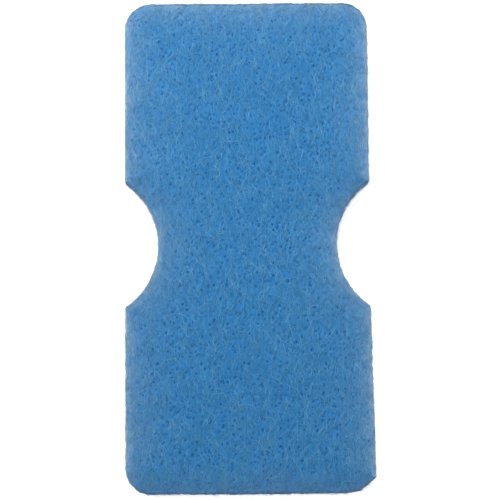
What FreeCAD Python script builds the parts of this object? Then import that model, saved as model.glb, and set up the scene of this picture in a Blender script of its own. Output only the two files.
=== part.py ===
import FreeCAD, Part
import math
import os

import Sketcher
from FreeCAD import Vector

# A filter pad die-cut from a bonded polyester fibre mat.
#
# The pad lies flat: X is its width, Y its length, +Z up. The origin is the middle of the
# underside. Two facing notches at mid-length are the seats for round riser pipes.
# The mat is a batt whose two faces were sprayed with dyed resin, so it has three bonded plies:
# a stiff web on each face and a paler, loftier core, which springs out a little at the cut edge.
# The cutting die rounds three outline corners and the fourth is cut off straight. The side
# below the right notch is cut a little wide.

os.makedirs("parts", exist_ok=True)

document = FreeCAD.newDocument("filter_pad")

SIZES = {
    "pad_length": 200.0,
    "pad_width": 100.0,
    "notch_radius": 30.0,
    "waist_width": 73.2,
    "corner_radius": 11.0,
    "trim_width": 8.1,
    "trim_angle": 38.7,
    "lip_radius": 1.6,
    "flare_width": 1.4,
    "face_thickness": 5.0,
    "core_thickness": 10.0,
    "face_inset": 0.4,
    "core_inset": 0.0,
    "shoulder_radius": 1.0,
    "core_edge_radius": 1.2,
}

sheet = document.addObject("Spreadsheet::Sheet", "Sizes")
for row, (alias, value) in enumerate(SIZES.items(), start=1):
    sheet.set(f"A{row}", alias)
    sheet.set(f"B{row}", str(value))
    sheet.setAlias(f"B{row}", alias)
document.recompute()


def size(alias):
    return float(sheet.get(alias))


LENGTH = size("pad_length")
WIDTH = size("pad_width")
FLARE = size("flare_width")
NOTCH_OFFSET = size("waist_width") / 2 + size("notch_radius")

# The trim's width gets shorter by this much of an inset, because its two ends move with it.
TRIM_ANGLE = math.radians(size("trim_angle"))
TRIM_SHARE = 1 - math.sin(TRIM_ANGLE) + math.tan(TRIM_ANGLE / 2) * math.cos(TRIM_ANGLE)

# The sketcher's numbers for an element's points and for the sketch's own origin and X axis.
START = 1
END = 2
CENTRE = 3
ORIGIN = -1
X_AXIS = -1


def arc(centre, radius, start, end):
    """An arc from start to end, counter-clockwise, about centre."""
    first = math.atan2(start.y - centre.y, start.x - centre.x)
    last = math.atan2(end.y - centre.y, end.x - centre.x)
    if last < first:
        last += 2 * math.pi
    circle = Part.Circle(centre, Vector(0, 0, 1), radius)
    return Part.ArcOfCircle(circle, first, last)


def beside(centre, radius, angle):
    turn = math.radians(angle)
    return centre + Vector(radius * math.cos(turn), radius * math.sin(turn), 0)


def outline(inset):
    """The pad's outline as lines and tangent arcs, drawn inset from its full size.

    It runs counter-clockwise from the left end of the bottom edge. The sketch's constraints
    hold the exact sizes; these are the places that its solver starts from.
    """
    half_x = WIDTH / 2 - inset
    half_y = LENGTH / 2 - inset
    corner = size("corner_radius") - inset
    cut = size("trim_width") - TRIM_SHARE * inset
    lip = size("lip_radius") - inset
    notch = size("notch_radius") + inset

    def lip_centre(side, half):
        """Centre of the rounding where a straight side meets a notch.

        side is -1 on the left and 1 on the right; half is -1 below the notch and 1 above it.
        It is one lip radius inside the straight side, and touches the notch circle.
        """
        x = side * (half_x - lip)
        y = half * math.sqrt((notch + lip) ** 2 - (NOTCH_OFFSET - half_x + lip) ** 2)
        return Vector(x, y, 0)

    def on_notch(centre, side):
        """Where the rounding about centre touches its notch."""
        towards = (Vector(side * NOTCH_OFFSET, 0, 0) - centre).normalize()
        return centre + towards * lip

    def rounded_corner(x, y, first_angle):
        centre = Vector(x, y, 0)
        return arc(centre, corner, beside(centre, corner, first_angle),
                   beside(centre, corner, first_angle + 90))

    top_right = rounded_corner(half_x - corner, half_y - corner, 0)
    top_left = rounded_corner(corner - half_x, half_y - corner, 90)
    bottom_left = rounded_corner(corner - half_x, corner - half_y, 180)

    low = lip_centre(1, -1)
    right_lip_low = arc(low, lip, beside(low, lip, 0), on_notch(low, 1))
    high = lip_centre(1, 1)
    right_lip_high = arc(high, lip, on_notch(high, 1), beside(high, lip, 0))
    right_notch = arc(Vector(NOTCH_OFFSET, 0, 0), notch, on_notch(high, 1), on_notch(low, 1))

    high = lip_centre(-1, 1)
    left_lip_high = arc(high, lip, beside(high, lip, 180), on_notch(high, -1))
    low = lip_centre(-1, -1)
    left_lip_low = arc(low, lip, on_notch(low, -1), beside(low, lip, 180))
    left_notch = arc(Vector(-NOTCH_OFFSET, 0, 0), notch, on_notch(low, -1), on_notch(high, -1))

    trim = Part.LineSegment(Vector(half_x + FLARE - cut, -half_y, 0),
                            Vector(half_x + FLARE, cut * math.tan(TRIM_ANGLE) - half_y, 0))

    def line(before, after):
        return Part.LineSegment(before.EndPoint, after.StartPoint)

    return [
        line(bottom_left, trim),
        trim,
        line(trim, right_lip_low),
        right_lip_low,
        right_notch,
        right_lip_high,
        line(right_lip_high, top_right),
        top_right,
        line(top_right, top_left),
        top_left,
        line(top_left, left_lip_high),
        left_lip_high,
        left_notch,
        left_lip_low,
        line(left_lip_low, bottom_left),
        bottom_left,
    ]


# The place of each element in the outline's list. A notch's own arc is hollow, so it runs
# against the outline, from its END to its START.
BOTTOM, TRIM, RIGHT_LOWER, RIGHT_LIP_LOW = 0, 1, 2, 3
RIGHT_NOTCH, RIGHT_LIP_HIGH, RIGHT_UPPER, TOP_RIGHT = 4, 5, 6, 7
TOP, TOP_LEFT, LEFT_UPPER, LEFT_LIP_HIGH = 8, 9, 10, 11
LEFT_NOTCH, LEFT_LIP_LOW, LEFT_LOWER, BOTTOM_LEFT = 12, 13, 14, 15
HOLLOW = (RIGHT_NOTCH, LEFT_NOTCH)
SHARP = ((BOTTOM, TRIM), (TRIM, RIGHT_LOWER))


def origin_plane(body, role):
    for feature in body.Origin.OriginFeatures:
        if feature.Role == role:
            return feature
    raise RuntimeError(f"{body.Label} has no {role}")


def outline_sketch(body, inset_alias):
    """The constrained outline on the body's XY plane, inset by the named cell."""
    sketch = body.newObject("Sketcher::SketchObject", f"{body.Label}_outline")
    sketch.AttachmentSupport = [(origin_plane(body, "XY_Plane"), "")]
    sketch.MapMode = "FlatFace"
    elements = outline(size(inset_alias))
    sketch.addGeometry(elements, False)

    for index in range(len(elements)):
        after = (index + 1) % len(elements)
        leaving = START if index in HOLLOW else END
        arriving = END if after in HOLLOW else START
        joined = "Coincident" if (index, after) in SHARP else "Tangent"
        sketch.addConstraint(Sketcher.Constraint(joined, index, leaving, after, arriving))

    for level in (BOTTOM, TOP):
        sketch.addConstraint(Sketcher.Constraint("Horizontal", level))
    for upright in (RIGHT_UPPER, LEFT_UPPER, LEFT_LOWER):
        sketch.addConstraint(Sketcher.Constraint("Vertical", upright))
    for notch in HOLLOW:
        sketch.addConstraint(Sketcher.Constraint("PointOnObject", notch, CENTRE, X_AXIS))

    inset = f"Sizes.{inset_alias}"

    def driven(name, constraint, expression):
        index = sketch.addConstraint(constraint)
        sketch.renameConstraint(index, name)
        sketch.setExpression(f"Constraints.{name}", expression)

    def radius(name, element, value, expression):
        driven(name, Sketcher.Constraint("Radius", element, value), expression)

    corner = elements[TOP_LEFT].Radius
    for name, element in (("top_left_radius", TOP_LEFT), ("top_right_radius", TOP_RIGHT),
                          ("bottom_left_radius", BOTTOM_LEFT)):
        radius(name, element, corner, f"Sizes.corner_radius - {inset}")
    for name, element in (("right_lip_low", RIGHT_LIP_LOW), ("right_lip_high", RIGHT_LIP_HIGH),
                          ("left_lip_low", LEFT_LIP_LOW), ("left_lip_high", LEFT_LIP_HIGH)):
        radius(name, element, elements[element].Radius, f"Sizes.lip_radius - {inset}")
    for name, element in (("right_notch_radius", RIGHT_NOTCH),
                          ("left_notch_radius", LEFT_NOTCH)):
        radius(name, element, elements[element].Radius, f"Sizes.notch_radius + {inset}")

    half_x = WIDTH / 2 - size(inset_alias)
    half_y = LENGTH / 2 - size(inset_alias)
    across = f"Sizes.pad_width / 2 - {inset}"
    along = f"Sizes.pad_length / 2 - {inset}"
    offset = "Sizes.waist_width / 2 + Sizes.notch_radius"
    # A distance from the origin is signed, so the left and bottom ones are negative.
    driven("right_side", Sketcher.Constraint("DistanceX", ORIGIN, START, RIGHT_UPPER, START,
                                             half_x), across)
    driven("left_side", Sketcher.Constraint("DistanceX", ORIGIN, START, LEFT_UPPER, START,
                                            -half_x), f"-({across})")
    driven("left_side_low", Sketcher.Constraint("DistanceX", ORIGIN, START, LEFT_LOWER, START,
                                                -half_x), f"-({across})")
    driven("top_edge", Sketcher.Constraint("DistanceY", ORIGIN, START, TOP, START,
                                           half_y), along)
    driven("bottom_edge", Sketcher.Constraint("DistanceY", ORIGIN, START, BOTTOM, START,
                                              -half_y), f"-({along})")
    driven("right_notch_offset", Sketcher.Constraint("DistanceX", ORIGIN, START, RIGHT_NOTCH,
                                                     CENTRE, NOTCH_OFFSET), offset)
    driven("left_notch_offset", Sketcher.Constraint("DistanceX", ORIGIN, START, LEFT_NOTCH,
                                                    CENTRE, -NOTCH_OFFSET), f"-({offset})")
    # The lower right side starts flush at the notch and ends a little wide at the trim.
    driven("flare_start", Sketcher.Constraint("DistanceX", ORIGIN, START, RIGHT_LOWER, END,
                                              half_x), across)
    driven("flare_end", Sketcher.Constraint("DistanceX", ORIGIN, START, RIGHT_LOWER, START,
                                            half_x + FLARE), f"{across} + Sizes.flare_width")
    cut = elements[TRIM].EndPoint.x - elements[TRIM].StartPoint.x
    turn = "Sizes.trim_angle * 1 deg"
    share = f"(1 - sin({turn}) + tan({turn} / 2) * cos({turn}))"
    driven("trim_across", Sketcher.Constraint("DistanceX", TRIM, START, TRIM, END, cut),
           f"Sizes.trim_width - {share} * {inset}")
    driven("trim_slope", Sketcher.Constraint("Angle", TRIM, TRIM_ANGLE), turn)
    document.recompute()
    if sketch.solve() != 0:
        raise RuntimeError(f"{sketch.Label} does not solve")
    if not sketch.FullyConstrained:
        raise RuntimeError(f"{sketch.Label} is not fully constrained")
    return sketch


def rim_edges(shape, heights):
    """Names of the outline edges that lie flat at one of the given heights."""
    names = []
    for number, edge in enumerate(shape.Edges, start=1):
        box = edge.BoundBox
        flat = box.ZLength < 1e-6
        if flat and any(abs(box.ZMin - height) < 1e-6 for height in heights):
            names.append(f"Edge{number}")
    return names


def ply(label, base_expression, thickness_alias, inset_alias, rounding_alias, rounded):
    """One ply: the outline padded to its thickness, with its outer rims rounded over.

    rounded says which rims the cutting die has dragged over: "top", "bottom" or both.
    """
    body = document.addObject("PartDesign::Body", label)
    body.Label = label
    sketch = outline_sketch(body, inset_alias)
    pad = body.newObject("PartDesign::Pad", f"{label}_pad")
    pad.Profile = sketch
    pad.setExpression("Length", f"Sizes.{thickness_alias}")
    sketch.Visibility = False
    document.recompute()

    levels = {"bottom": 0.0, "top": size(thickness_alias)}
    fillet = body.newObject("PartDesign::Fillet", f"{label}_rim")
    fillet.Base = (pad, rim_edges(pad.Shape, [levels[rim] for rim in rounded]))
    fillet.setExpression("Radius", f"Sizes.{rounding_alias}")
    body.Tip = fillet
    body.Placement = FreeCAD.Placement()
    # The flare is on one side only, so half of it is what centres the pad on its origin.
    body.setExpression("Placement.Base.x", "-Sizes.flare_width / 2")
    body.setExpression("Placement.Base.z", base_expression)
    document.recompute()
    return body


plies = [
    ply("bottom_face_web", "0 mm", "face_thickness", "face_inset", "shoulder_radius", ["bottom"]),
    ply("core_web", "Sizes.face_thickness", "core_thickness", "core_inset",
        "core_edge_radius", ["bottom", "top"]),
    ply("top_face_web", "Sizes.face_thickness + Sizes.core_thickness", "face_thickness",
        "face_inset", "shoulder_radius", ["top"]),
]
document.recompute()

for item in document.Objects:
    if "Invalid" in item.State or "Error" in item.State:
        raise RuntimeError(f"{item.Label} failed: {item.State}")
for body in plies:
    shape = body.Shape
    if shape.isNull() or not shape.isValid() or len(shape.Solids) != 1:
        raise RuntimeError(f"{body.Label} is not one valid solid")

for body in plies:
    body.Shape.exportStep(f"parts/{body.Label}.step")
    box = body.Shape.optimalBoundingBox(True, False)
    print(body.Label, f"{body.Shape.Volume:.0f} mm3",
          f"x {box.XMin:.2f}..{box.XMax:.2f}",
          f"y {box.YMin:.2f}..{box.YMax:.2f}",
          f"z {box.ZMin:.2f}..{box.ZMax:.2f}")
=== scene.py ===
import math

import bpy
import numpy as np
from mathutils import Matrix, Vector


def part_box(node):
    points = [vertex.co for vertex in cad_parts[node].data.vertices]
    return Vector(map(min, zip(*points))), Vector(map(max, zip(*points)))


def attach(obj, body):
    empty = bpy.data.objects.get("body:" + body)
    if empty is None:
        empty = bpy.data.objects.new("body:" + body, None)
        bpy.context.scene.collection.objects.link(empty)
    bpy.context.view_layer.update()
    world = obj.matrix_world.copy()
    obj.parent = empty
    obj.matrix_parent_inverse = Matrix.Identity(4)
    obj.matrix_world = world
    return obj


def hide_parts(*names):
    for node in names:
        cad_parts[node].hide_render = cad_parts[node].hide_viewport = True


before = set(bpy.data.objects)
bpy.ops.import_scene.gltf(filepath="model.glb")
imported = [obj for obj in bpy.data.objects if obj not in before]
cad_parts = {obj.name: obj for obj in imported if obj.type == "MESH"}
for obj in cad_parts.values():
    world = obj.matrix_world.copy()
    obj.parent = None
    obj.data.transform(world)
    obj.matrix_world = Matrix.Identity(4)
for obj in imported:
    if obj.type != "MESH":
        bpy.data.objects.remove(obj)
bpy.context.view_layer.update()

# A pad of blue bonded fibre mat, lying flat. Each of its three plies is a closed mesh of its own,
# made from the CAD ply's place, with lumps and pores as geometry. Crimped fibres, each a thin
# closed tube, lie over every face. X is the pad's width, Y its length and Z its thickness.

MM = 0.001

# ---------------------------------------------------------------- sizes, from the CAD frame

core_low, core_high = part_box("core_web")
top_low, top_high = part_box("top_face_web")
bottom_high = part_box("bottom_face_web")[1]

FLARE = 1.4 * MM
LEFT = core_low[0]
RIGHT = core_high[0] - FLARE
HALF_LENGTH = (core_high[1] - core_low[1]) / 2
MIDDLE_X = (LEFT + RIGHT) / 2
HALF_WIDTH = (RIGHT - LEFT) / 2
THICKNESS = top_high[2]
UPPER_SEAM = top_low[2]
LOWER_SEAM = bottom_high[2]

NOTCH_RADIUS = 30 * MM
HALF_WAIST = 36.6 * MM
NOTCH_OFFSET = HALF_WAIST + NOTCH_RADIUS
# The notches were cut a little above the middle of the pad's length.
NOTCH_RISE = 0.5 * MM
CORNER_RADIUS = 11 * MM
LIP_RADIUS = 1.0 * MM
# The lower right corner is cut off by a steep slant, then a shallow one that meets the bottom.
TRIM_HEIGHT = 6.5 * MM
TRIM_ANGLE = math.radians(38.7)
DROOP_WIDTH = 12.6 * MM
DROOP_ANGLE = math.radians(11)
TRIM_SOFTNESS = 0.5 * MM
DROOP_SOFTNESS = 0.6 * MM
# The right side flares out from this far below the middle of the length.
FLARE_START = 25 * MM

# The cut side's cross-section: its two rounded shoulders, how much it bellies out between them,
# how far it leans in towards the underside, and how deep the grooves along the seams are.
SHOULDER_WIDTH = 0.9 * MM
SHOULDER_HEIGHT = 1.8 * MM
SIDE_SLOPE = 0.15 * MM
SIDE_LEAN = 0.8 * MM
SEAM_GROOVE = 0.08 * MM
SEAM_WIDTH = 0.7 * MM
# The cut side stands this far inside the outline, and a nap of loose fibres fills the rest.
NAP = 0.36 * MM
# Each face's grid of small quads ends where its shoulder has turned down to this angle.
CAP_ANGLE = math.radians(52)

# The underside rests on its loose fibres, so its web is held a little above the floor.
FLOOR_GAP = 0.25 * MM
# The upper web lies this far under its fibres, so that its bumps don't stand out through them.
WEB_SINK = 0.06 * MM
# The lower web's bumps reach down no further than this.
UNDER_BUMP_LIMIT = 0.15 * MM
# The middle line of a fibre round the side, or of one under the pad, goes no lower than this.
FIBRE_FLOOR = 0.1 * MM
UNDER_FIBRE_FLOOR = 0.08 * MM


# ---------------------------------------------------------------- outline

def rounded_max(a, b, radius):
    """The larger of two distances, with the corner between them rounded to radius."""
    corner = np.hypot(np.maximum(a + radius, 0), np.maximum(b + radius, 0))
    return np.minimum(np.maximum(a, b), -radius) + corner


def distance(x, y):
    """Signed distance from the cut side's outline, negative inside the pad."""
    below = np.clip((-y - FLARE_START) / (HALF_LENGTH - FLARE_START), 0, 1)
    left = LEFT - x
    right = x - RIGHT - FLARE * below
    top = y - HALF_LENGTH
    bottom = -y - HALF_LENGTH
    across = x - RIGHT - FLARE
    trim = (across * math.sin(TRIM_ANGLE)
            + (bottom + TRIM_HEIGHT) * math.cos(TRIM_ANGLE))
    droop = (across + DROOP_WIDTH) * math.sin(DROOP_ANGLE) + bottom * math.cos(DROOP_ANGLE)
    body = np.maximum.reduce([
        rounded_max(left, top, CORNER_RADIUS),
        rounded_max(left, bottom, CORNER_RADIUS),
        rounded_max(right, top, CORNER_RADIUS),
        rounded_max(right, trim, TRIM_SOFTNESS),
        rounded_max(droop, bottom, DROOP_SOFTNESS),
        rounded_max(trim, droop, TRIM_SOFTNESS),
    ])
    for side in (-1, 1):
        reach = np.hypot(x - MIDDLE_X - side * NOTCH_OFFSET, y - NOTCH_RISE)
        body = rounded_max(body, NOTCH_RADIUS - reach, LIP_RADIUS)
    return body + NAP


def outward(x, y):
    """Unit vectors that point straight out of the outline."""
    step = 0.05 * MM
    gx = distance(x + step, y) - distance(x - step, y)
    gy = distance(x, y + step) - distance(x, y - step)
    long = np.maximum(np.hypot(gx, gy), 1e-9)
    return gx / long, gy / long


def tilted(gx, gy, facing):
    """Unit vectors that are turned up from level, outward vectors gx and gy by facing."""
    return np.stack([gx * np.cos(facing), gy * np.cos(facing), np.sin(facing)], -1)


def onto_level(x, y, level, turns):
    """Moves points straight in or out until they lie at that distance from the outline."""
    for _ in range(turns):
        gx, gy = outward(x, y)
        miss = level - distance(x, y)
        x = x + gx * miss
        y = y + gy * miss
    return x, y


def evened(x, y, level, turns):
    """Moves a closed loop onto a level of the outline, its points spread more evenly along it."""
    for _ in range(turns):
        x = (np.roll(x, 1) + 2 * x + np.roll(x, -1)) / 4
        y = (np.roll(y, 1) + 2 * y + np.roll(y, -1)) / 4
        x, y = onto_level(x, y, level, turns=2)
    return x, y


# ---------------------------------------------------------------- noise and lumps

LATTICE_SIZE = 64
LATTICE_COUNT = 4
# Each lattice is shifted by a multiple of this, so that no two line up.
LATTICE_SHIFT = 17.3

# Layers of noise, each with its height, its width and the number of its lattice.
FELT_LUMPS = [(0.05 * MM, 7 * MM, 0), (0.04 * MM, 2.6 * MM, 1)]
FELT_GRAIN = [(0.07 * MM, 0.7 * MM, 2)]
RIM_LUMPS = [(0.13 * MM, 9 * MM, 3), (0.10 * MM, 3.2 * MM, 0), (0.08 * MM, 1.1 * MM, 1)]
SAG = [(0.22 * MM, 60 * MM, 3)]
# The grain on the faces is longer along the pad, and the rim's lumps are flattened into layers.
GRAIN_STRETCH = np.array([1, 0.6, 1])
RIM_STRETCH = np.array([1, 1, 1.8])


def lattice(seed):
    """Random values from -1 to 1, one for each point of a cubic lattice."""
    shape = (LATTICE_SIZE, LATTICE_SIZE, LATTICE_SIZE)
    return np.random.default_rng(seed).uniform(-1, 1, shape)


LATTICES = [lattice(seed) for seed in range(LATTICE_COUNT)]


def noise(points, width, which):
    """Smooth noise from -1 to 1 at an (n, 3) array of points, with lumps about that wide."""
    table = LATTICES[which]
    at = points / width + LATTICE_SHIFT * (which + 1)
    cell = np.floor(at).astype(int)
    part = at - cell
    part = part * part * (3 - 2 * part)
    total = np.zeros(len(points))
    for corner in np.ndindex(2, 2, 2):
        weight = np.ones(len(points))
        for axis in range(3):
            weight *= part[:, axis] if corner[axis] else 1 - part[:, axis]
        index = (cell + corner) % LATTICE_SIZE
        total += weight * table[index[:, 0], index[:, 1], index[:, 2]]
    return total


def layered(points, layers):
    """The height of layers of noise at each point."""
    return sum(height * noise(points, width, which) for height, width, which in layers)


def lumps(points):
    """The uneven height of the felted faces at each point."""
    return layered(points, FELT_LUMPS) + layered(points * GRAIN_STRETCH, FELT_GRAIN)


def sag(points):
    """The slow waviness of a mat that has been rolled and cut, on its upper face only."""
    return layered(points, SAG)


def seam_pull(points):
    """How much the rim is drawn in beside the two seams between plies."""
    groove = np.zeros(len(points))
    for seam in (UPPER_SEAM, LOWER_SEAM):
        groove += np.exp(-((points[:, 2] - seam) / SEAM_WIDTH) ** 2)
    return SEAM_GROOVE * groove


def rim_lumps(points):
    """The uneven cut of the rim: stronger than on the faces, in flat layers."""
    return layered(points * RIM_STRETCH, RIM_LUMPS) - seam_pull(points)


# ---------------------------------------------------------------- pores

# The pitch of the map that holds the pores, its margin round the pad, and the reach of one pore
# in the map's cells.
PORE_PITCH = 0.15 * MM
PORE_MARGIN = 2 * MM
PORE_REACH = 7
# How far each pore may lie across its own square of the even spacing.
PORE_JITTER = (-0.1, 1.1)
# A pore's share of the full depth is a random share raised to a power, so few are deep.
PORE_SHARES = (0.3, 1.0)
PORE_SHARE_POWER = 1.8
PORE_DEPTH = 0.5 * MM
PORE_RADII = (0.26 * MM, 0.42 * MM)
PORE_STRETCHES = (1.0, 1.7)
PORE_TURN = 0.5
# Pores are this much of their full size at the cut edge, and full size this far in.
PORE_EDGE_SHARE = 0.45
PORE_EDGE_REACH = 12 * MM


def pore_map(seed, spacing):
    """A map of small pits, from 0 to 1, evenly but not regularly spread over the whole face."""
    rng = np.random.default_rng(seed)
    wide = int((2 * HALF_WIDTH + 2 * PORE_MARGIN) / PORE_PITCH)
    tall = int((2 * HALF_LENGTH + 2 * PORE_MARGIN) / PORE_PITCH)
    pits = np.zeros((tall, wide))
    window = slice(-PORE_REACH, PORE_REACH + 1)
    rows, columns = np.mgrid[window, window] * PORE_PITCH
    every = spacing / PORE_PITCH
    cells = np.indices((int(tall / every), int(wide / every))).reshape(2, -1).T
    places = (cells + rng.uniform(*PORE_JITTER, cells.shape)) * every
    places = np.clip(places.astype(int), PORE_REACH, np.array([tall, wide]) - PORE_REACH - 1)
    for row, column in places:
        depth = rng.uniform(*PORE_SHARES) ** PORE_SHARE_POWER
        radius = rng.uniform(*PORE_RADII)
        stretch = rng.uniform(*PORE_STRETCHES)
        turn = rng.normal(0, PORE_TURN)
        along = rows * math.cos(turn) + columns * math.sin(turn)
        across = columns * math.cos(turn) - rows * math.sin(turn)
        pit = depth * np.exp(-((along / stretch) ** 2 + across ** 2) / radius ** 2)
        around = pits[row - PORE_REACH:row + PORE_REACH + 1,
                      column - PORE_REACH:column + PORE_REACH + 1]
        np.maximum(around, pit, out=around)
    return pits


def sample(pits, x, y):
    """The pore map's value at points on the face."""
    column = (x - LEFT + PORE_MARGIN) / PORE_PITCH
    row = (y + HALF_LENGTH + PORE_MARGIN) / PORE_PITCH
    column = np.clip(column, 0, pits.shape[1] - 1.001)
    row = np.clip(row, 0, pits.shape[0] - 1.001)
    i = row.astype(int)
    j = column.astype(int)
    v = row - i
    u = column - j
    lower = pits[i, j] * (1 - u) + pits[i, j + 1] * u
    upper = pits[i + 1, j] * (1 - u) + pits[i + 1, j + 1] * u
    return lower * (1 - v) + upper * v


def openness(pits, x, y):
    """How open the web is at points on the face: its pores, which close up near the cut edge."""
    growth = (1 - PORE_EDGE_SHARE) * -distance(x, y) / PORE_EDGE_REACH
    return sample(pits, x, y) * np.clip(PORE_EDGE_SHARE + growth, 0, 1)


TOP_PORES = pore_map(21, 1.75 * MM)
BOTTOM_PORES = pore_map(22, 2.2 * MM)


# ---------------------------------------------------------------- the pad's surface

def rim_profile(height):
    """How far in from the outline the rim lies at each height, and the way it faces.

    Returns the inset (a positive length) and the slope angle: 0 faces straight out, +90 degrees
    up and -90 degrees down.
    """
    middle = THICKNESS / 2
    above = np.abs(height - middle)
    shoulder = middle - SHOULDER_HEIGHT
    lean = SIDE_SLOPE * (np.minimum(above, shoulder) / shoulder) ** 2
    lean = lean + SIDE_LEAN * (1 - height / THICKNESS)
    share = np.clip((above - shoulder) / SHOULDER_HEIGHT, 0, 1)
    inset = lean + SHOULDER_WIDTH * (1 - np.sqrt(1 - share ** 2))
    facing = np.arcsin(share) * np.sign(height - middle)
    return inset, facing


def shoulder_share(inset, facing_up):
    """How far down a face's shoulder each inset is: 0 on the flat, 1 where the side begins."""
    start = SIDE_SLOPE if facing_up else SIDE_SLOPE + SIDE_LEAN
    return np.clip(1 - (inset - start) / SHOULDER_WIDTH, 0, 1)


def face_drop(inset, facing_up):
    """How far from the flat of a face its shoulder has turned, at that inset."""
    return SHOULDER_HEIGHT * (1 - np.sqrt(1 - shoulder_share(inset, facing_up) ** 2))


def face_normal(x, y, inset, facing_up):
    """The way that a face's surface points: up or down on the flat, turning out at its edge."""
    turn = math.pi / 2 - np.arcsin(shoulder_share(inset, facing_up))
    gx, gy = outward(x, y)
    return tilted(gx, gy, turn if facing_up else -turn)


def top_surface(x, y):
    """Points on the upper face at those places, with its lumps, pores and waviness."""
    z = THICKNESS - face_drop(-distance(x, y), True)
    flat = np.stack([x, y, z], -1).reshape(-1, 3)
    height = lumps(flat) - PORE_DEPTH * openness(TOP_PORES, flat[:, 0], flat[:, 1])
    flat[:, 2] += height + sag(flat)
    return flat.reshape(*np.shape(x), 3)


CAP_HEIGHT = THICKNESS - SHOULDER_HEIGHT * (1 - math.sin(CAP_ANGLE))
UPPER_CAP_INSET = float(rim_profile(np.array(CAP_HEIGHT))[0])
LOWER_CAP_INSET = float(rim_profile(np.array(THICKNESS - CAP_HEIGHT))[0])


# ---------------------------------------------------------------- fraying, painted glow and painted shade, kept on each vertex

# Paling, partly fraying and partly painted glow of light through the cut edge's fibres, has a
# steep part beside the cut edge, and a slow part that reaches further in.
STEEP_SHARE = 0.62
STEEP_REACH = 1.5 * MM
SLOW_REACH = 7.5 * MM
# Half way down the side only this share of it is left.
SIDE_PALE = 0.20
SIDE_PALE_REACH = 1.8 * MM
# It comes in patches.
PATCH_MEAN = 0.82
PATCH_SWING = 0.4
PATCH_WIDTH = 2.2 * MM
# The lower end is less pale by this share: painted shade, as that end faces away from the light.
SHADED_LOWER_END = 0.65

# The two ends get painted shade, darker than the sides: how much, and how far in from the edge.
UPPER_END_SHADE = 0.8
UPPER_END_SHADE_REACH = 2 * MM
LOWER_END_SHADE_REACH = 3.5 * MM
# The outermost fibres get this much less of the painted shade.
OUTER_SHADE_CUT = 0.7
OUTER_REACH = 0.8 * MM


def pale_share(points):
    """How pale the fibre is at each point, from fraying and from painted glow of light through
    the cut edge: most along the two cut edges.
    """
    inset = np.maximum(-distance(points[:, 0], points[:, 1]), 0)
    from_edge = THICKNESS / 2 - np.abs(points[:, 2] - THICKNESS / 2)
    height_share = SIDE_PALE + (1 - SIDE_PALE) * np.exp(-(from_edge / SIDE_PALE_REACH) ** 2)
    patches = np.clip(PATCH_MEAN + PATCH_SWING * noise(points, PATCH_WIDTH, 1), 0, 1)
    fading = (STEEP_SHARE * np.exp(-inset / STEEP_REACH)
              + (1 - STEEP_SHARE) * np.exp(-inset / SLOW_REACH))
    # Less pale towards the lower end: painted shade.
    lower_end = np.clip(-outward(points[:, 0], points[:, 1])[1], 0, 1)
    return fading * height_share * patches * (1 - SHADED_LOWER_END * lower_end)


def end_shade_share(points):
    """How much painted shade the fibre gets at each point: most beside the pad's two ends."""
    x, y = points[:, 0], points[:, 1]
    end = outward(x, y)[1]
    inset = np.maximum(-distance(x, y), 0)
    upper = UPPER_END_SHADE * np.clip(end, 0, 1) * np.exp(-inset / UPPER_END_SHADE_REACH)
    lower = np.clip(-end, 0, 1) * np.exp(-inset / LOWER_END_SHADE_REACH)
    return (upper + lower) * (1 - OUTER_SHADE_CUT * np.exp(-inset / OUTER_REACH))


# ---------------------------------------------------------------- mesh making

def new_mesh(name, points, faces, attributes=None):
    """A mesh from an array of points and a list of arrays of faces, one array per face size."""
    mesh = bpy.data.meshes.new(name)
    mesh.vertices.add(len(points))
    mesh.vertices.foreach_set("co", points.astype(np.float32).ravel())
    corners = np.concatenate([group.ravel() for group in faces])
    sizes = np.concatenate([np.full(len(group), group.shape[1]) for group in faces])
    mesh.loops.add(len(corners))
    mesh.loops.foreach_set("vertex_index", corners.astype(np.int32))
    mesh.polygons.add(len(sizes))
    starts = np.concatenate([[0], np.cumsum(sizes)[:-1]])
    mesh.polygons.foreach_set("loop_start", starts.astype(np.int32))
    mesh.update(calc_edges=True)
    mesh.validate()
    mesh.polygons.foreach_set("use_smooth", np.ones(len(sizes), bool))
    for label, values in (attributes or {}).items():
        layer = mesh.attributes.new(label, "FLOAT", "POINT")
        layer.data.foreach_set("value", values.astype(np.float32))
    return mesh


def new_piece(name, mesh, material):
    """A soft piece that rides on the pad's one body."""
    piece = bpy.data.objects.new(name, mesh)
    bpy.context.scene.collection.objects.link(piece)
    mesh.materials.append(material)
    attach(piece, "root")
    return piece


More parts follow.
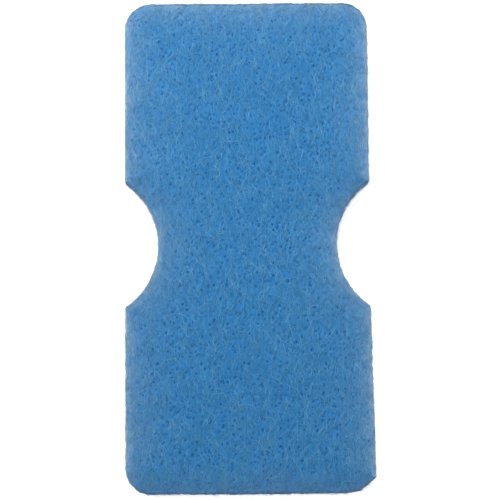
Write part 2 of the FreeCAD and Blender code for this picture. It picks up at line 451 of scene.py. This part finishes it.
def face_grid(pitch, edge_inset):
    """A square grid that fills the outline at an inset, and the ordered loop round its edge.

    Returns x, y, quads and loop, with the loop's points moved onto the inset line.
    """
    columns = int(2 * (HALF_WIDTH + FLARE) / pitch) + 3
    rows = int(2 * HALF_LENGTH / pitch) + 3
    grid_x = MIDDLE_X + (np.arange(columns) - (columns - 1) / 2) * pitch
    grid_y = (np.arange(rows) - (rows - 1) / 2) * pitch
    x, y = np.meshgrid(grid_x, grid_y)
    # Points nearer to the inset line than this would make quads that are too thin.
    clearance = 0.35 * pitch
    inside = distance(x, y) < -edge_inset - clearance
    cells = inside[:-1, :-1] & inside[1:, :-1] & inside[:-1, 1:] & inside[1:, 1:]
    index = np.arange(rows * columns).reshape(rows, columns)
    i, j = np.nonzero(cells)
    quads = np.stack([index[i, j], index[i, j + 1], index[i + 1, j + 1], index[i + 1, j]], -1)

    # An edge that only one quad has is on the border. Each is walked to the next.
    starts = quads.ravel()
    ends = np.roll(quads, -1, axis=1).ravel()
    total = rows * columns
    forward = starts.astype(np.int64) * total + ends
    backward = ends.astype(np.int64) * total + starts
    border = ~np.isin(forward, backward)
    following = dict(zip(starts[border].tolist(), ends[border].tolist()))
    first = min(following)
    loop = [first]
    while following[loop[-1]] != first:
        loop.append(following[loop[-1]])

    used = np.unique(quads)
    renumber = np.full(total, -1)
    renumber[used] = np.arange(len(used))
    x = x.ravel()[used]
    y = y.ravel()[used]
    quads = renumber[quads]
    loop = renumber[np.array(loop)]

    x[loop], y[loop] = evened(x[loop], y[loop], -edge_inset, turns=8)
    return x, y, quads, loop


def rings(edge_x, edge_y, heights):
    """Points of the rim, one ring per height, and the way each faces."""
    points = []
    facings = []
    x, y = edge_x, edge_y
    for height in heights:
        inset, facing = rim_profile(np.array(height))
        x, y = evened(x, y, -float(inset), turns=10)
        gx, gy = outward(x, y)
        points.append(np.stack([x, y, np.full(len(x), height)], -1))
        facings.append(tilted(gx, gy, np.full(len(x), facing)))
    return np.concatenate(points), np.concatenate(facings)


def bands(first, count, length):
    """Quads between successive rings of vertices that start at first."""
    quads = []
    here = np.arange(length)
    after = np.roll(here, -1)
    for ring in range(count - 1):
        low = first + ring * length
        high = low + length
        quads.append(np.stack([low + here, low + after, high + after, high + here], -1))
    return np.concatenate(quads)


# ---------------------------------------------------------------- plies

FACE_RINGS = 16
# A power below 1 puts the rings a little further apart near the face than near the seam.
RING_SPACING = 0.8
CORE_RINGS = 26
TOP_PITCH = 0.32 * MM
BOTTOM_PITCH = 0.8 * MM


def ply_piece(name, node, blues, points, faces, pit):
    """One ply, which stands in for its CAD solid."""
    # The painted shade at the pad's two ends is kept on each vertex too.
    attributes = {"pit": pit, "pale": pale_share(points), "end_shade": end_shade_share(points)}
    mesh = new_mesh(name, points, faces, attributes)
    piece = new_piece(name, mesh, web_material(f"{name}_fibre", blues))
    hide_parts(node)


def face_ply(name, node, pitch, facing_up, pores):
    """The upper or lower ply: a face of small quads, a rounded shoulder and part of the rim.

    Returns the x and y of the loop where its face ends.
    """
    x, y, quads, loop = face_grid(pitch, UPPER_CAP_INSET if facing_up else LOWER_CAP_INSET)
    inset = -distance(x, y)
    rise = THICKNESS - face_drop(inset, facing_up)
    face = np.stack([x, y, rise if facing_up else THICKNESS - rise], -1)
    normal = face_normal(x, y, inset, facing_up)
    pit = openness(pores, x, y)
    sink = WEB_SINK if facing_up else 0.0
    bump = lumps(face) - PORE_DEPTH * pit - sink
    if facing_up:
        lift = sag(face)
    else:
        bump = np.minimum(bump, UNDER_BUMP_LIMIT)
        lift = np.full(len(face), FLOOR_GAP)
    face = face + normal * bump[:, None]
    face[:, 2] = np.maximum(face[:, 2] + lift, 0)

    seam = UPPER_SEAM if facing_up else LOWER_SEAM
    edge = CAP_HEIGHT if facing_up else THICKNESS - CAP_HEIGHT
    share = np.linspace(0, 1, FACE_RINGS + 1)[1:]
    side, facings = rings(x[loop], y[loop], edge + (seam - edge) * share ** RING_SPACING)
    blend = np.repeat(np.clip(share * 2, 0, 1), len(loop))
    side_bump = (1 - blend) * (lumps(side) - sink) + blend * rim_lumps(side)
    side = side + facings * side_bump[:, None]
    side[:, 2] = np.clip(side[:, 2], 0, None)
    # The face's own lift fades out down the rim, and is gone at the seam.
    lifted = np.tile(face[loop, 2] - (edge + normal[loop, 2] * bump[loop]), FACE_RINGS)
    side[:, 2] += lifted * np.repeat(1 - share, len(loop))

    first = len(face)
    length = len(loop)
    ring = first + np.arange(length)
    joined = np.stack([np.roll(loop, -1), loop, ring, np.roll(ring, -1)], -1)
    around = bands(first, FACE_RINGS, length)[:, ::-1]
    last = first + (FACE_RINGS - 1) * length + np.arange(length)
    groups = [quads, joined, around, last[::-1][None, :]]
    if not facing_up:
        groups = [group[:, ::-1] for group in groups]
    pit = np.concatenate([pit, np.zeros(len(side))])
    ply_piece(name, node, FACE_WEB_BLUES, np.concatenate([face, side]), groups, pit)
    return x[loop], y[loop]


def core_ply(name, node, edge):
    """The middle ply: the belly of the rim, closed above and below where the others cover it."""
    points, facings = rings(*edge, np.linspace(LOWER_SEAM, UPPER_SEAM, CORE_RINGS))
    points = points + facings * rim_lumps(points)[:, None]
    points[:, 2] = np.clip(points[:, 2], LOWER_SEAM, UPPER_SEAM)
    length = len(edge[0])
    around = bands(0, CORE_RINGS, length)
    under = np.arange(length)[::-1][None, :]
    over = (np.arange(length) + (CORE_RINGS - 1) * length)[None, :]
    ply_piece(name, node, CORE_WEB_BLUES, points, [around, under, over],
              np.zeros(len(points)))


# ---------------------------------------------------------------- materials

def srgb(red, green, blue):
    """A linear colour from the 0 to 255 values of a display colour."""
    def linear(value):
        value /= 255
        return value / 12.92 if value <= 0.04045 else ((value + 0.055) / 1.055) ** 2.4
    return (linear(red), linear(green), linear(blue), 1.0)


def darkened(colour, share):
    """A share of a linear colour."""
    return tuple(share * value for value in colour[:3]) + (1.0,)


# Deep, middle, light and pale shades: of the loose fibres on the faces, round the cut side and
# in its nap, and of the webs under them.
FACE_BLUES = [srgb(26, 112, 170), srgb(58, 138, 186), srgb(102, 157, 189), srgb(160, 181, 194)]
RIM_BLUES = [srgb(38, 98, 152), srgb(68, 131, 179), srgb(97, 153, 195), srgb(172, 190, 203)]
NAP_BLUES = [srgb(60, 110, 158), srgb(90, 140, 180), srgb(125, 165, 196), srgb(184, 198, 208)]
# The webs' blues are darker than the fibres': the mat's own blue with painted shade, as the webs
# lie under the fibres.
FACE_WEB_BLUES = [srgb(12, 85, 140), srgb(27, 102, 154), srgb(46, 114, 160), srgb(126, 154, 174)]
CORE_WEB_BLUES = [srgb(28, 82, 134), srgb(44, 106, 158), srgb(60, 122, 172), srgb(110, 136, 158)]
# The grey blue of the painted shade at the pad's two ends, and the most of it that is laid on.
END_SHADE_BLUE = srgb(50, 84, 114)
END_SHADE_MOST = 0.70
PALEST_WEB = 0.9
PALEST_STRAND = 0.85


def node_tree(name):
    """A new material, its node tree and its shader."""
    material = bpy.data.materials.new(name)
    material.use_nodes = True
    tree = material.node_tree
    return material, tree, tree.nodes["Principled BSDF"]


def noise_node(tree, width, detail, stretch=(1, 1, 1)):
    """Noise with features of about that width, from the object's own coordinates."""
    place = tree.nodes.new("ShaderNodeTexCoord")
    mapping = tree.nodes.new("ShaderNodeMapping")
    mapping.inputs["Scale"].default_value = [s / width for s in stretch]
    tree.links.new(place.outputs["Object"], mapping.inputs["Vector"])
    texture = tree.nodes.new("ShaderNodeTexNoise")
    texture.inputs["Scale"].default_value = 1.0
    texture.inputs["Detail"].default_value = detail
    texture.inputs["Roughness"].default_value = 0.6
    tree.links.new(mapping.outputs["Vector"], texture.inputs["Vector"])
    return texture.outputs["Fac"]


def reading(tree, label):
    """A value that the mesh keeps on each vertex."""
    node = tree.nodes.new("ShaderNodeAttribute")
    node.attribute_name = label
    return node.outputs["Fac"]


def fitted(tree, value, low, high, to_low=0.0, to_high=1.0):
    """A value moved from one range to another, and kept inside it."""
    node = tree.nodes.new("ShaderNodeMapRange")
    node.clamp = True
    tree.links.new(value, node.inputs["Value"])
    for label, number in (("From Min", low), ("From Max", high),
                          ("To Min", to_low), ("To Max", to_high)):
        node.inputs[label].default_value = number
    return node.outputs["Result"]


def mixed(tree, share, first, second):
    """Mixes two colours, each a socket or a value, by share."""
    node = tree.nodes.new("ShaderNodeMix")
    node.data_type = "RGBA"
    tree.links.new(share, node.inputs["Factor"])
    for label, colour in (("A", first), ("B", second)):
        socket = next(s for s in node.inputs if s.name == label and s.type == "RGBA")
        if isinstance(colour, tuple):
            socket.default_value = colour
        else:
            tree.links.new(colour, socket)
    return next(s for s in node.outputs if s.type == "RGBA")


def paled(tree, colour, pale, most):
    """A colour that goes pale where the fibre is frayed, and with painted glow at the cut edge.
    """
    return mixed(tree, fitted(tree, reading(tree, "pale"), 0.0, 1.0, 0.0, most), colour, pale)


def end_shaded(tree, colour):
    """A colour darkened towards grey blue by painted shade beside the pad's two ends."""
    share = fitted(tree, reading(tree, "end_shade"), 0.0, 1.0, 0.0, END_SHADE_MOST)
    return mixed(tree, share, colour, END_SHADE_BLUE)


def fibre_finish(tree, shader, colour, rough):
    """What is the same all over: dull plastic fibre with a soft bloom at its edges."""
    tree.links.new(colour, shader.inputs["Base Color"])
    tree.links.new(rough, shader.inputs["Roughness"])
    shader.inputs["Specular IOR Level"].default_value = 0.2
    shader.inputs["Sheen Weight"].default_value = 0.08
    shader.inputs["Sheen Roughness"].default_value = 0.5
    shader.inputs["Sheen Tint"].default_value = srgb(190, 205, 215)


def web_material(name, blues):
    """The felted surface under the loose fibres: clouded, grainy, and with painted shade in its
    pores.
    """
    deep, middle, light, pale = blues
    material, tree, shader = node_tree(name)
    clouds = fitted(tree, noise_node(tree, 9 * MM, 2), 0.35, 0.65, 0.25, 0.6)
    grain = fitted(tree, noise_node(tree, 0.8 * MM, 3, (1.4, 0.55, 1)), 0.3, 0.7)
    colour = mixed(tree, clouds, middle, light)
    colour = mixed(tree, grain, deep, colour)
    colour = paled(tree, colour, pale, PALEST_WEB)
    # Painted shade in the pores, darker the more open the web is there.
    pit = fitted(tree, reading(tree, "pit"), 0.08, 0.65)
    colour = mixed(tree, pit, colour, darkened(deep, 0.65))
    rough = fitted(tree, noise_node(tree, 0.7 * MM, 2), 0.3, 0.7, 0.62, 0.9)
    fibre_finish(tree, shader, end_shaded(tree, colour), rough)
    bump = tree.nodes.new("ShaderNodeBump")
    bump.inputs["Strength"].default_value = 0.35
    bump.inputs["Distance"].default_value = 0.15 * MM
    tree.links.new(noise_node(tree, 0.35 * MM, 2, (1.6, 0.7, 1)), bump.inputs["Height"])
    tree.links.new(bump.outputs["Normal"], shader.inputs["Normal"])
    return material


def strand_material(name, blues):
    """The separate fibres: each has its own shade, and clumps of them are deeper in colour."""
    deep, middle, light, pale = blues
    material, tree, shader = node_tree(name)
    shade = reading(tree, "shade")
    colour = mixed(tree, fitted(tree, shade, 0.0, 0.5), deep, middle)
    colour = mixed(tree, fitted(tree, shade, 0.5, 1.0), colour, light)
    clumps = noise_node(tree, 1.5 * MM, 2, (1.15, 0.85, 1))
    colour = mixed(tree, fitted(tree, clumps, 0.32, 0.52, 0.4, 0.0), colour, deep)
    colour = paled(tree, colour, pale, PALEST_STRAND)
    rough = fitted(tree, noise_node(tree, 1.5 * MM, 1), 0.3, 0.7, 0.45, 0.65)
    fibre_finish(tree, shader, end_shaded(tree, colour), rough)
    return material


# ---------------------------------------------------------------- fibres

# Each fibre is a tube with this many sides and this many rings of vertices.
SIDES = 3
STEPS = 7
END_TAPER = 0.55
FIBRE_RADII = (0.05 * MM, 0.085 * MM)
NAP_RADII = (0.025 * MM, 0.045 * MM)

FACE_LENGTHS = (3.5 * MM, 9.0 * MM)
# Carding leaves a little more of the fibre along the mat than across it.
FACE_SPREAD = 0.62
# Fibres on the faces stay this far inside the cut side.
FACE_MARGIN = 0.55 * MM
# A fibre is left out where the web is more open than its own random limit.
OPEN_LIMITS = (0.06, 0.5)
FACE_ARCHES = (0.05 * MM, 0.30 * MM)
WEAVE_HEIGHT = 0.06 * MM
FACE_DEPTHS = (-0.10 * MM, 0.06 * MM)
FACE_BED = 0.04 * MM
# A few fibres are stouter and lighter than the rest.
STOUT_SHARE = 0.07
STOUT_GROWTH = 1.35

RIM_LENGTHS = (2.5 * MM, 6.5 * MM)
RIM_SPREAD = 0.55
RIM_ARCHES = (0.02 * MM, 0.32 * MM)
RIM_BED = 0.05 * MM
# A few of the rim's fibres stand off it at one end.
LOOSE_SHARE = 0.10
LOOSE_TIPS = (0.3 * MM, 1.3 * MM)

NAP_HEIGHTS = (0.04, 0.985)
NAP_REACH = 1.25 * MM
NAP_DRIFTS = (0.6 * MM, 1.8 * MM)
NAP_CURL = 0.25 * MM
NAP_ROOT = 0.15 * MM
NAP_LEAST_PALE = 0.5

ALONG = np.linspace(0, 1, STEPS)


def tubes(paths, away, radius):
    """Closed tubes along (n, STEPS, 3) paths. away is each point's outward direction."""
    ahead = np.gradient(paths, axis=1)
    ahead /= np.maximum(np.linalg.norm(ahead, axis=-1, keepdims=True), 1e-12)
    across = np.cross(ahead, away)
    across /= np.maximum(np.linalg.norm(across, axis=-1, keepdims=True), 1e-12)
    upward = np.cross(across, ahead)
    taper = np.ones(STEPS)
    taper[0] = END_TAPER
    taper[-1] = END_TAPER
    size = radius[:, None] * taper
    turn = np.arange(SIDES) * 2 * math.pi / SIDES + math.pi / 2
    ring = (across[:, :, None, :] * np.cos(turn)[:, None]
            + upward[:, :, None, :] * np.sin(turn)[:, None])
    points = paths[:, :, None, :] + ring * size[:, :, None, None]
    index = np.arange(points.size // 3).reshape(points.shape[:3])
    beside = np.roll(index, -1, axis=2)
    quads = np.stack([index[:, :-1], beside[:, :-1], beside[:, 1:], index[:, 1:]], -1)
    start = index[:, 0, ::-1]
    end = index[:, -1, :]
    return points.reshape(-1, 3), [quads.reshape(-1, 4), start, end]


def wandering(rng, lean):
    """Headings along crimped fibres that lean that way: one row per fibre, one value per step."""
    count = len(lean)
    bend = rng.normal(0, 0.45, count)[:, None] * (ALONG - 0.5)
    crimp = rng.uniform(0.15, 0.6, count)[:, None]
    waves = rng.uniform(0.8, 2.2, count)[:, None]
    phase = rng.uniform(0, 2 * math.pi, count)[:, None]
    return lean[:, None] + bend + crimp * np.sin(2 * math.pi * waves * ALONG + phase)


def walk(start, headings, length):
    """Positions on a plane along headings, centred on start."""
    step = (length / (STEPS - 1))[:, None]
    moves = np.stack([np.cos(headings), np.sin(headings)], -1) * step[..., None]
    path = np.cumsum(moves, axis=1) - moves[:, :1]
    return path - path.mean(axis=1, keepdims=True) + start[:, None, :]


def face_fibres(seed, count, facing_up, pores):
    """Fibres that lie on a face: their paths, outward directions, shades and radii."""
    rng = np.random.default_rng(seed)
    half_size = np.array([HALF_WIDTH + FLARE, HALF_LENGTH])
    start = rng.uniform(-1, 1, (count, 2)) * half_size + np.array([MIDDLE_X, 0])
    lean = math.pi / 2 + rng.normal(0, FACE_SPREAD, count)
    length = rng.uniform(*FACE_LENGTHS, count)
    path = walk(start, wandering(rng, lean), length)
    x = path[..., 0]
    y = path[..., 1]
    inset = -distance(x, y)
    fits = inset.min(axis=1) > (FACE_MARGIN if facing_up else FACE_MARGIN + SIDE_LEAN)
    fits &= openness(pores, x, y).max(axis=1) < rng.uniform(*OPEN_LIMITS, count)
    x, y, inset = x[fits], y[fits], inset[fits]
    kept = len(x)
    arch = np.sin(math.pi * ALONG) * rng.uniform(*FACE_ARCHES, kept)[:, None]
    weave = WEAVE_HEIGHT * np.sin(2 * math.pi * (ALONG * rng.uniform(1, 2.5, kept)[:, None]
                                                 + rng.uniform(0, 1, kept)[:, None]))
    depth = rng.uniform(*FACE_DEPTHS, kept)
    lift = arch + weave + depth[:, None] - FACE_BED
    away = face_normal(x, y, inset, facing_up)
    paths = top_surface(x, y)
    if facing_up:
        paths = paths + away * lift[..., None]
    else:
        bed = face_drop(inset, facing_up) + 0.7 * FLOOR_GAP
        paths[..., 2] = np.maximum(bed - 0.5 * lift, UNDER_FIBRE_FLOOR)
    # Fibres that lie deeper are deeper in colour: painted shade from the fibres above them.
    shade = np.clip(rng.normal(0.5, 0.2, kept) + depth / MM, 0, 0.85)
    radius = rng.uniform(*FIBRE_RADII, kept)
    stout = rng.uniform(0, 1, kept) < STOUT_SHARE
    shade[stout] = rng.uniform(0.9, 1.0, stout.sum())
    radius[stout] *= STOUT_GROWTH
    return paths, away, shade, radius


def rim_fibres(seed, count, edge):
    """Fibres that lie round the cut side and over its shoulders, a few of them standing off."""
    rng = np.random.default_rng(seed)
    ring_x, ring_y = onto_level(*edge, 0.0, turns=6)
    ring_x = np.append(ring_x, ring_x[0])
    ring_y = np.append(ring_y, ring_y[0])
    run = np.concatenate([[0], np.cumsum(np.hypot(np.diff(ring_x), np.diff(ring_y)))])
    total = run[-1]
    # The cross-section is walked by its own length, from under the pad up and over.
    heights = THICKNESS / 2 * (1 + np.sin(np.linspace(-1, 1, 401) * math.pi / 2))
    insets, facings = rim_profile(heights)
    across = np.concatenate([[0], np.cumsum(np.hypot(np.diff(insets), np.diff(heights)))])

    start = rng.uniform(0, 1, (count, 2)) * np.array([total, across[-1]])
    lean = rng.normal(0, RIM_SPREAD, count) + math.pi * rng.integers(0, 2, count)
    length = rng.uniform(*RIM_LENGTHS, count)
    path = walk(start, wandering(rng, lean), length)
    s = path[..., 0] % total
    p = np.clip(path[..., 1], 0, across[-1])
    inset = np.interp(p, across, insets)
    height = np.interp(p, across, heights)
    facing = np.interp(p, across, facings)
    x = np.interp(s, run, ring_x)
    y = np.interp(s, run, ring_y)
    x, y = onto_level(x, y, -inset, turns=4)
    away = tilted(*outward(x, y), facing)
    points = np.stack([x, y, height], -1)
    flat = points.reshape(-1, 3)
    on_side = np.clip(np.cos(facing).ravel() * 1.4, 0, 1)
    bump = on_side * rim_lumps(flat) + (1 - on_side) * lumps(flat)
    on_top = np.sin(facing).ravel() > 0
    bump = bump + np.where(on_top, sag(flat) * (1 - on_side), 0)
    arch = np.sin(math.pi * ALONG) * rng.uniform(*RIM_ARCHES, count)[:, None]
    loose = (rng.uniform(0, 1, count) < LOOSE_SHARE)[:, None]
    tip = loose * ALONG ** 3 * rng.uniform(*LOOSE_TIPS, count)[:, None]
    lift = bump.reshape(count, STEPS) + arch + tip - RIM_BED
    paths = points + away * lift[..., None]
    paths[..., 2] = np.clip(paths[..., 2], FIBRE_FLOOR, None)
    shade = np.clip(rng.normal(0.5, 0.22, count), 0, 1)
    radius = rng.uniform(*FIBRE_RADII, count)
    return paths, away, shade, radius


def nap_fibres(seed, count, edge):
    """Short fine fibres that stand out of the cut side, and blur its edge."""
    rng = np.random.default_rng(seed)
    spot = rng.integers(0, len(edge[0]), count)
    height = THICKNESS * rng.uniform(*NAP_HEIGHTS, count)
    inset, facing = rim_profile(height)
    x, y = onto_level(edge[0][spot], edge[1][spot], -inset, turns=4)
    gx, gy = outward(x, y)
    away = tilted(gx, gy, facing)
    beside = np.stack([-gy, gx, np.zeros(count)], -1)
    above = np.cross(beside, away)
    turn = rng.uniform(0, 2 * math.pi, count)[:, None]
    along_side = beside * np.cos(turn) + above * np.sin(turn)
    along = ALONG[None, :, None]
    reach = (rng.uniform(0.25, 1.0, count) ** 1.6 * NAP_REACH)[:, None, None]
    drift = rng.uniform(*NAP_DRIFTS, count)[:, None, None]
    curl = rng.normal(0, NAP_CURL, count)[:, None, None]
    root = np.stack([x, y, height], -1) - away * NAP_ROOT
    paths = (root[:, None, :]
             + away[:, None, :] * reach * np.sin(along * math.pi * 0.5)
             + along_side[:, None, :] * drift * along
             + above[:, None, :] * curl * np.sin(along * math.pi))
    paths[..., 2] = np.clip(paths[..., 2], FIBRE_FLOOR, None)
    away = np.repeat(away[:, None, :], STEPS, axis=1)
    shade = rng.uniform(0.5, 1.0, count)
    radius = rng.uniform(*NAP_RADII, count)
    return paths, away, shade, radius


def fibre_piece(name, blues, made, least_pale=0.0):
    """One piece of many fibres."""
    paths, away, shade, radius = made
    points, faces = tubes(paths, away, radius)
    attributes = {
        "shade": np.repeat(shade, STEPS * SIDES),
        "pale": np.maximum(pale_share(points), least_pale),
        # painted shade at the pad's two ends
        "end_shade": end_shade_share(points),
    }
    mesh = new_mesh(name, points, faces, attributes)
    new_piece(name, mesh, strand_material(f"{name}_dye", blues))


# ---------------------------------------------------------------- the pieces

rim_edge = face_ply("top_web", "top_face_web", TOP_PITCH, True, TOP_PORES)
face_ply("bottom_web", "bottom_face_web", BOTTOM_PITCH, False, BOTTOM_PORES)
core_ply("core_batt", "core_web", rim_edge)

# How many pieces of each kind of fibre there are, how many fibres are drawn for each of them,
# and the seed of the first. A fibre on a face that would cross the outline or a pore is left out.
TOP_PIECES = 5
TOP_COUNT = 8000
TOP_SEED = 100
RIM_PIECES = 3
RIM_COUNT = 7500
RIM_SEED = 200
UNDER_PIECES = 2
UNDER_COUNT = 5000
UNDER_SEED = 300
NAP_PIECES = 2
NAP_COUNT = 8000
NAP_SEED = 400

for number in range(TOP_PIECES):
    fibre_piece(f"top_fibres_{number + 1}", FACE_BLUES,
                face_fibres(TOP_SEED + number, TOP_COUNT, True, TOP_PORES))

for number in range(RIM_PIECES):
    fibre_piece(f"rim_fibres_{number + 1}", RIM_BLUES,
                rim_fibres(RIM_SEED + number, RIM_COUNT, rim_edge))

for number in range(NAP_PIECES):
    fibre_piece(f"fringe_fibres_{number + 1}", NAP_BLUES,
                nap_fibres(NAP_SEED + number, NAP_COUNT, rim_edge), NAP_LEAST_PALE)

for number in range(UNDER_PIECES):
    fibre_piece(f"under_fibres_{number + 1}", FACE_BLUES,
                face_fibres(UNDER_SEED + number, UNDER_COUNT, False, BOTTOM_PORES))


# ---------------------------------------------------------------- stage, light and camera

FLOOR_SIZE = 30.0
FLOOR_DROP = 0.2 * MM
FLOOR_GLOW = 0.66
ROOM_LIGHT = 0.42
ROOM_SEEN = 1.05
LAMP_SIZE = 0.5

CAMERA_TILT = math.radians(3.6)
CAMERA_ROLL = math.radians(0.46)
CAMERA_DISTANCE = 0.5
CAMERA_AIM = (0.3 * MM, -1.2 * MM, 10 * MM)
CAMERA_SENSOR = 36
# The width of what the camera sees at its aim.
CAMERA_SPAN = 206.1 * MM


def white_floor():
    """A plain white floor that runs out of sight."""
    corners = FLOOR_SIZE * np.array([[-1, -1, 0], [1, -1, 0], [1, 1, 0], [-1, 1, 0]])
    corners[:, 2] = -FLOOR_DROP
    floor = bpy.data.objects.new("floor", new_mesh("floor", corners, [np.array([[0, 1, 2, 3]])]))
    bpy.context.scene.collection.objects.link(floor)
    material, _, shader = node_tree("floor_paper")
    shader.inputs["Base Color"].default_value = (0.9, 0.9, 0.9, 1)
    shader.inputs["Emission Color"].default_value = (1, 1, 1, 1)
    shader.inputs["Emission Strength"].default_value = FLOOR_GLOW
    shader.inputs["Roughness"].default_value = 0.9
    shader.inputs["Specular IOR Level"].default_value = 0.1
    floor.data.materials.append(material)


def area_light(name, place, target, power):
    """A square lamp that points at its target."""
    light = bpy.data.lights.new(name, "AREA")
    light.shape = "SQUARE"
    light.size = LAMP_SIZE
    light.energy = power
    lamp = bpy.data.objects.new(name, light)
    bpy.context.scene.collection.objects.link(lamp)
    lamp.location = place
    aim = Vector(target) - Vector(place)
    lamp.rotation_euler = aim.to_track_quat("-Z", "Y").to_euler()


def studio():
    """A white room and two soft lamps, the stronger one behind the pad's upper end."""
    world = bpy.data.worlds.new("white_room")
    world.use_nodes = True
    tree = world.node_tree
    background = tree.nodes["Background"]
    background.inputs["Color"].default_value = (1, 1, 1, 1)
    # The room lights the pad softly, and what is seen of it is white.
    path = tree.nodes.new("ShaderNodeLightPath")
    strength = tree.nodes.new("ShaderNodeMapRange")
    strength.inputs["To Min"].default_value = ROOM_LIGHT
    strength.inputs["To Max"].default_value = ROOM_SEEN
    tree.links.new(path.outputs["Is Camera Ray"], strength.inputs["Value"])
    tree.links.new(strength.outputs["Result"], background.inputs["Strength"])
    bpy.context.scene.world = world
    area_light("key", place=(-0.14, 0.30, 0.48), target=(0, 0.02, 0), power=6.2)
    area_light("fill", place=(0.5, -0.6, 0.35), target=(0, 0, 0), power=1.2)
    bpy.context.scene.view_settings.view_transform = "Standard"


def camera():
    """A camera almost straight above the pad, with the pad's upper end at the top of its view."""
    data = bpy.data.cameras.new("camera")
    data.sensor_width = CAMERA_SENSOR
    data.lens = CAMERA_SENSOR * CAMERA_DISTANCE / CAMERA_SPAN
    data.clip_start = 0.05
    eye = bpy.data.objects.new("camera", data)
    bpy.context.scene.collection.objects.link(eye)
    back = Vector((0, -math.sin(CAMERA_TILT), math.cos(CAMERA_TILT)))
    eye.location = Vector(CAMERA_AIM) + back * CAMERA_DISTANCE
    look = Matrix.Rotation(CAMERA_TILT, 4, "X") @ Matrix.Rotation(-CAMERA_ROLL, 4, "Z")
    eye.rotation_euler = look.to_euler()
    bpy.context.scene.camera = eye


white_floor()
studio()
camera()
